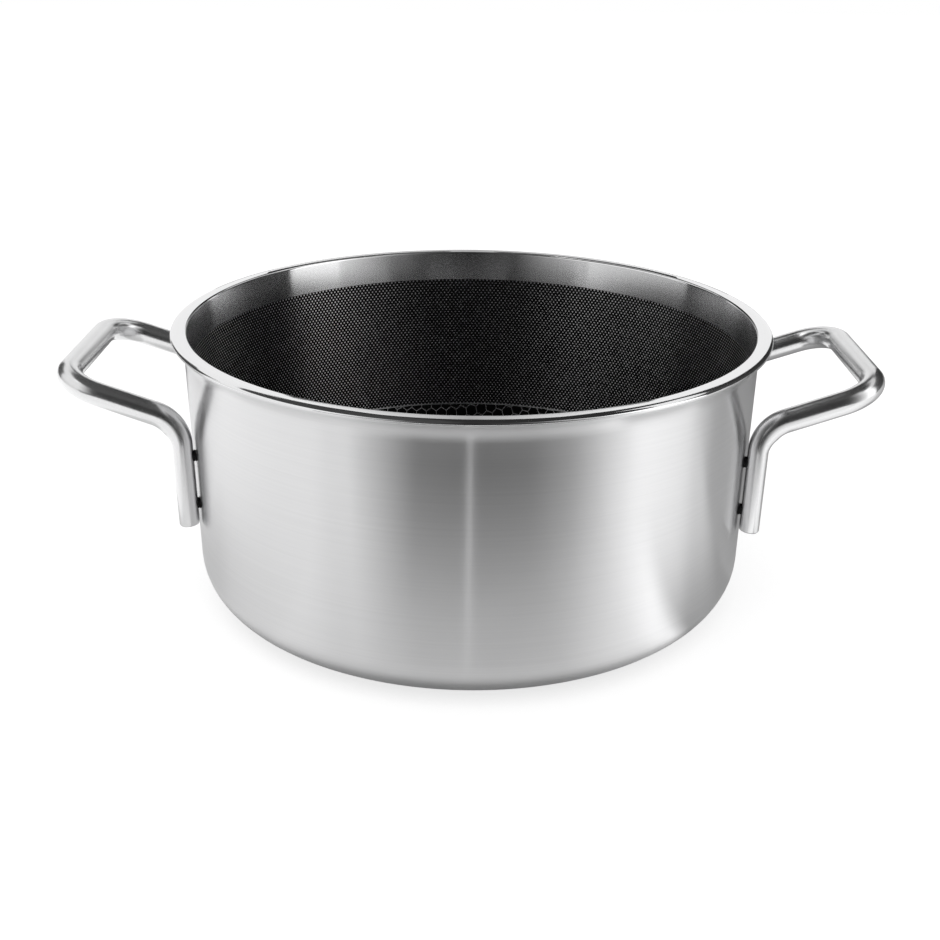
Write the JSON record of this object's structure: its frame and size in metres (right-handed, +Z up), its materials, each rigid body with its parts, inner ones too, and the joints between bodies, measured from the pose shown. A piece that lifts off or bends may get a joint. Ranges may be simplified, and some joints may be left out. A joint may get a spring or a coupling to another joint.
{
  "type": "two-handled cooking pot",
  "caption": "Wide round cooking pot of clad steel with a flared pouring rim, a dark patterned non-stick inside and bent-rod loop handles on opposite sides.",
  "frame": {"origin": "centre of the flat base, on the surface that the pot stands on", "axes": "+Z up through the bowl's axis, +X towards the right handle, the picture looks along +Y"},
  "size_m": [0.3448, 0.2552, 0.1207],
  "materials": {
    "satin_steel": "satin, brushed round the wall",
    "core_aluminium": "plain, hidden inside the sheet",
    "polished_steel": "mirror polished",
    "nonstick": "semi-matt black, between fine raised steel dots and a raised steel honeycomb",
    "rod_steel": "fine satin, nearly polished",
    "weld_steel": "dark oxide of a weld"
  },
  "bodies": {
    "root": {"outer_shell": "satin_steel", "heat_core": "core_aluminium", "inner_liner": "polished_steel", "nonstick_coat": "nonstick", "handle_left": "rod_steel", "handle_right": "rod_steel", "weld_left_front_lower": "weld_steel", "weld_left_front_upper": "weld_steel", "weld_left_rear_lower": "weld_steel", "weld_left_rear_upper": "weld_steel", "weld_right_front_lower": "weld_steel", "weld_right_front_upper": "weld_steel", "weld_right_rear_lower": "weld_steel", "weld_right_rear_upper": "weld_steel"}
  },
  "joints": []
}
